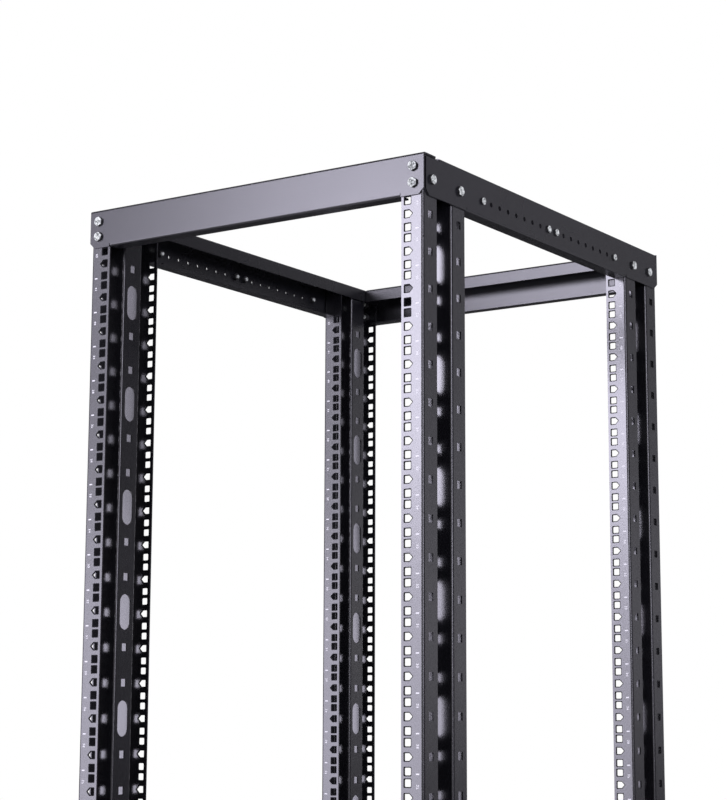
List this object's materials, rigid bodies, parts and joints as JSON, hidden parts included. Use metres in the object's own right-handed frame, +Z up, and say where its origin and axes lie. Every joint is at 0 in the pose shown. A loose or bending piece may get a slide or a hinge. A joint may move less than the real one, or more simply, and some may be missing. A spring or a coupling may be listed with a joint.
{
  "type": "four post open frame rack",
  "caption": "Open frame equipment rack: folded steel posts with columns of square rail holes, joined top and bottom by channel beams.",
  "frame": {"origin": "on the floor, midway between the posts from side to side and from front to rear", "axes": "+Z up along the posts, +X to the right, front towards -Y"},
  "size_m": [0.512, 0.615, 1.9649],
  "materials": {
    "frame": "satin black powder coat"
  },
  "bodies": {
    "root": {"front_left_post": "frame", "front_right_post": "frame", "rear_left_post": "frame", "rear_right_post": "frame", "top_front_beam": "frame", "top_rear_beam": "frame", "top_left_beam": "frame", "top_right_beam": "frame", "bottom_front_beam": "frame", "bottom_rear_beam": "frame", "bottom_left_beam": "frame", "bottom_right_beam": "frame", "top_left_front_rail": "frame", "top_left_rear_rail": "frame", "top_right_front_rail": "frame", "top_right_rear_rail": "frame", "bottom_left_front_rail": "frame", "bottom_left_rear_rail": "frame", "bottom_right_front_rail": "frame", "bottom_right_rear_rail": "frame"}
  },
  "joints": []
}
